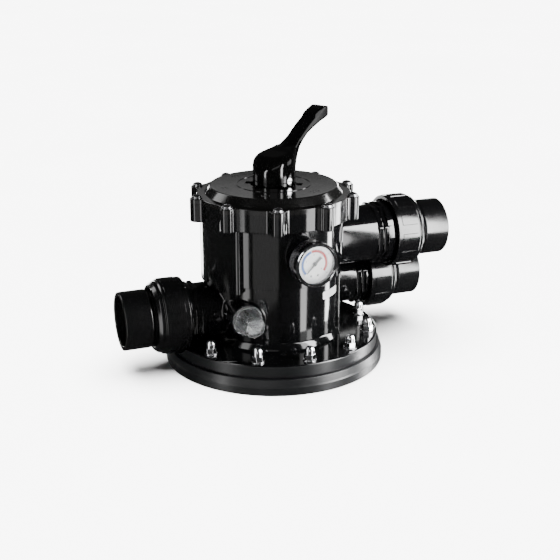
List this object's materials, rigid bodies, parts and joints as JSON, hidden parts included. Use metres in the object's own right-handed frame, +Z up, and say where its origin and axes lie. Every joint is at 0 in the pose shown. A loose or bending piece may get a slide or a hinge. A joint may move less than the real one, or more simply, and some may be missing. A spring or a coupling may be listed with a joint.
{
  "type": "multiport valve",
  "caption": "Top-mount selector valve for a filter tank: lever handle, bolted lid, side unions, pressure gauge and sight glass.",
  "frame": {"origin": "centre of the neck ring's bottom face, on the valve axis", "axes": "+Z up along the valve axis, ports along X with the waste port at -X, gauge and sight glass towards -Y"},
  "size_m": [0.4457, 0.2876, 0.3187],
  "materials": {
    "body_plastic": "glossy black moulded plastic",
    "rotor_plastic": "moulded plastic",
    "ring_plastic": "satin dark grey",
    "rubber": "black rubber",
    "steel": "stainless",
    "chrome": "polished",
    "clear": "clear plastic",
    "brass": "brass",
    "dial_white": "white printed dial",
    "pointer_black": "black",
    "label_white": "white film",
    "seal_white": "white seal"
  },
  "bodies": {
    "housing": {"valve_body": "body_plastic", "lid": "body_plastic", "waste_tailpiece": "body_plastic", "pump_tailpiece": "body_plastic", "return_tailpiece": "body_plastic", "neck_ring": "ring_plastic", "lid_o_ring": "rubber", "spider_gasket": "rubber", "sight_glass_o_ring": "rubber", "waste_o_ring": "rubber", "pump_o_ring": "rubber", "return_o_ring": "rubber", "flange_o_ring": "rubber", "gauge_vent_plug": "rubber", "lid_screws": "steel", "spring_washer": "steel", "flange_studs": "steel", "flange_washers": "steel", "gauge_dial_screws": "steel", "gauge_case": "steel", "acorn_nuts": "chrome", "gauge_bezel": "chrome", "sight_glass": "clear", "gauge_lens": "clear", "gauge_socket": "brass", "bourdon_tube": "brass", "gauge_dial": "dial_white", "blank_label": "label_white", "gauge_seal": "seal_white"},
    "selector": {"handle_washer": "steel", "spring": "steel"},
    "rotor": {"rotor": "rotor_plastic", "stem_o_rings": "rubber", "handle_pin": "chrome"},
    "handle": {"handle": "body_plastic"},
    "pointer": {"gauge_pointer": "pointer_black"},
    "waste_union": {"waste_nut": "body_plastic"},
    "pump_union": {"pump_nut": "body_plastic"},
    "return_union": {"return_nut": "body_plastic"}
  },
  "joints": [
    {"name": "selector_turn", "type": "hinge", "parent": "housing", "child": "selector", "pos_m": [0, 0, 0.2309], "axis": [0, 0, 1], "continuous": true},
    {"name": "stem_lift", "type": "slide", "parent": "selector", "child": "rotor", "axis": [0, 0, 1], "range_m": [0, 0.0098], "deforming": ["spring"]},
    {"name": "handle_press", "type": "hinge", "parent": "rotor", "child": "handle", "pos_m": [0, 0, 0.2377], "axis": [-0.5, 0.866, 0], "range_deg": [0, 30], "stiffness_Nm_per_rad": 6, "springref_deg": -28.65},
    {"name": "pointer_turn", "type": "hinge", "parent": "housing", "child": "pointer", "pos_m": [0.01055, -0.12054, 0.1556], "axis": [-0.0872, 0.9962, 0], "range_deg": [0, 270], "stiffness_Nm_per_rad": 0.0002, "springref_deg": -57.3},
    {"name": "waste_nut_turn", "type": "hinge", "parent": "housing", "child": "waste_union", "pos_m": [-0.1263, 0, 0.0708], "axis": [-1, 0, 0], "continuous": true},
    {"name": "pump_nut_turn", "type": "hinge", "parent": "housing", "child": "pump_union", "pos_m": [0.1582, 0, 0.1515], "axis": [1, 0, 0], "continuous": true},
    {"name": "return_nut_turn", "type": "hinge", "parent": "housing", "child": "return_union", "pos_m": [0.151, 0.06091, 0.0732], "axis": [1, 0, 0], "continuous": true}
  ],
  "couplings": [
    {"joint": "stem_lift", "follows": "handle_press", "m_per_rad": 0.018717}
  ]
}
